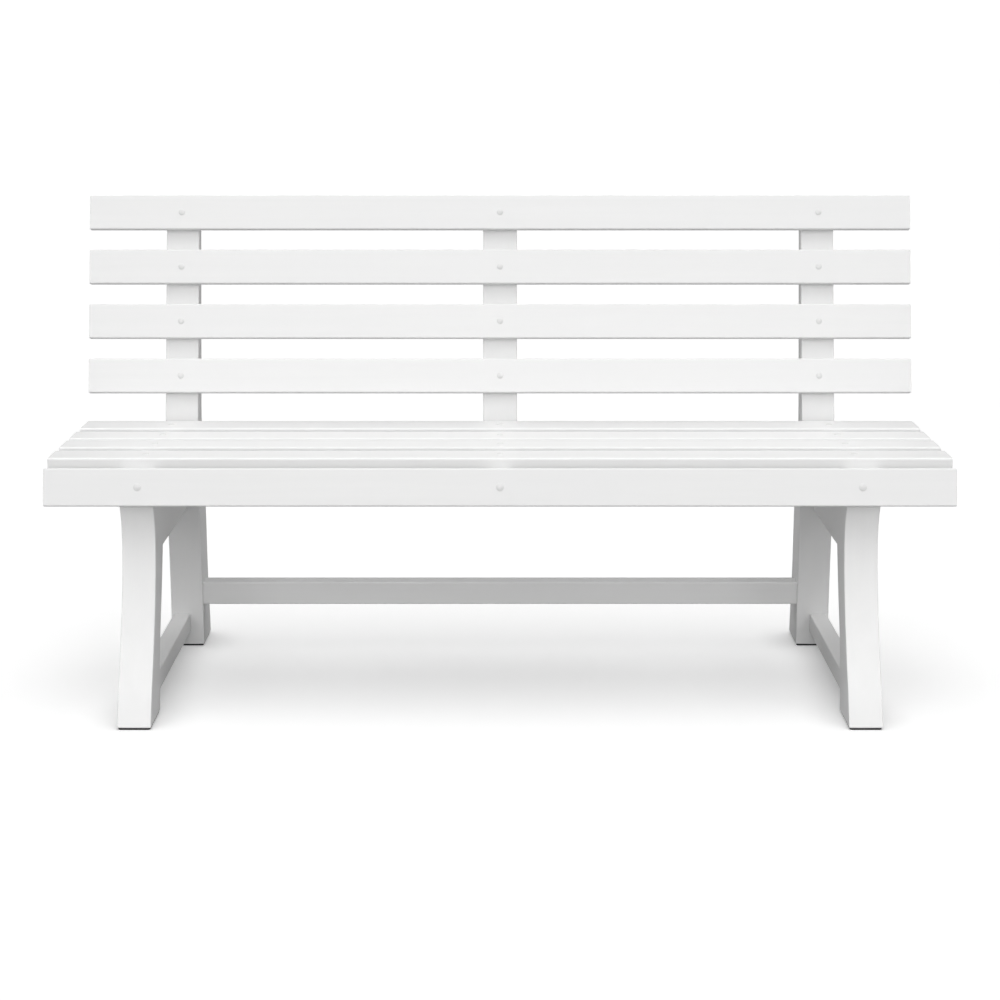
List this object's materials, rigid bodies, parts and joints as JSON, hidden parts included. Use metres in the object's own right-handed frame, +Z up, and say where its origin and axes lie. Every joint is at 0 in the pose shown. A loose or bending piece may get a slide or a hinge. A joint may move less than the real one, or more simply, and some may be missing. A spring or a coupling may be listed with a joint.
{
  "type": "slatted park bench",
  "caption": "Park bench with a flat slatted seat, a reclined slatted back on posts, a front apron slat, curved front legs and low stretchers.",
  "frame": {"origin": "on the ground, at the centre of the bench's footprint box", "axes": "+X along the bench, -Y the front where a sitter's legs are, +Z up; left is the -X end"},
  "size_m": [1.524, 0.6794, 0.8447],
  "materials": {
    "white_lumber": "white recycled-plastic lumber, satin, with a faint drawn grain and eased edges",
    "screw_heads": "white-coated dome heads",
    "hidden_steel": "bright zinc-plated",
    "dowel_wood": "plain beech",
    "glide_rubber": "black, matte"
  },
  "bodies": {
    "root": {"apron_screws": "screw_heads", "back_screws_centre": "screw_heads", "back_screws_left": "screw_heads", "back_screws_right": "screw_heads", "back_slat_1": "white_lumber", "back_slat_2": "white_lumber", "back_slat_3": "white_lumber", "back_slat_4": "white_lumber", "centre_barrel_nut": "hidden_steel", "centre_post": "white_lumber", "centre_post_bolt": "hidden_steel", "centre_seat_rail": "white_lumber", "frame_bolt_washers": "hidden_steel", "front_apron": "white_lumber", "glide_screws": "hidden_steel", "left_front_bolt": "hidden_steel", "left_front_glide": "glide_rubber", "left_front_leg": "white_lumber", "left_rear_bolts": "hidden_steel", "left_rear_glide": "glide_rubber", "left_rear_upright": "white_lumber", "left_seat_rail": "white_lumber", "left_side_stretcher": "white_lumber", "long_stretcher": "white_lumber", "long_stretcher_barrel_nuts": "hidden_steel", "long_stretcher_bolts": "hidden_steel", "rail_barrel_nuts": "hidden_steel", "rail_dowels": "dowel_wood", "right_front_bolt": "hidden_steel", "right_front_glide": "glide_rubber", "right_front_leg": "white_lumber", "right_rear_bolts": "hidden_steel", "right_rear_glide": "glide_rubber", "right_rear_upright": "white_lumber", "right_seat_rail": "white_lumber", "right_side_stretcher": "white_lumber", "seat_screws_centre": "screw_heads", "seat_screws_left": "screw_heads", "seat_screws_right": "screw_heads", "seat_slat_1": "white_lumber", "seat_slat_2": "white_lumber", "seat_slat_3": "white_lumber", "seat_slat_4": "white_lumber"}
  },
  "joints": []
}
